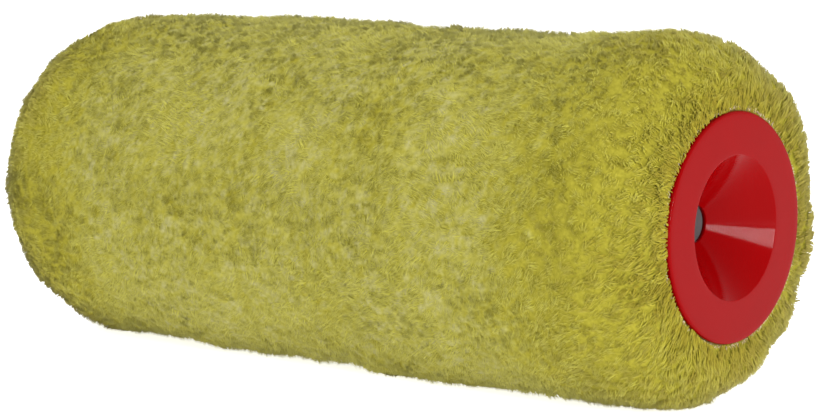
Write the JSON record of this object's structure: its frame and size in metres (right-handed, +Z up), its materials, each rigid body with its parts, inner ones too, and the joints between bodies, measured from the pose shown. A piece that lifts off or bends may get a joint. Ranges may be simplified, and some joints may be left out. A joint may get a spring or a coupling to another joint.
{
  "type": "paint roller sleeve",
  "caption": "Plush pile paint roller sleeve on a stiff core tube, with a funnel-shaped plastic cap at each end for a wire axle.",
  "frame": {"origin": "centre of the axle bore, on the roller's axis and half way along it", "axes": "+X along the roller's axis towards the front end cap, +Z up as the sleeve lies on a table"},
  "size_m": [0.204, 0.083, 0.0815],
  "materials": {
    "core_plastic": "plain extruded polypropylene",
    "guide_plastic": "smooth light grey plastic",
    "backing": "undyed knitted polyester, cut edge slightly frayed",
    "pile": "soft yellow-green plush pile with paler tips",
    "cap_plastic": "glossy red, with fine turned rings in the funnel"
  },
  "bodies": {
    "root": {"core_tube": "core_plastic", "guide_tube": "guide_plastic", "backing_fabric": "backing", "pile": "pile", "front_end_cap": "cap_plastic", "rear_end_cap": "cap_plastic"}
  },
  "joints": []
}
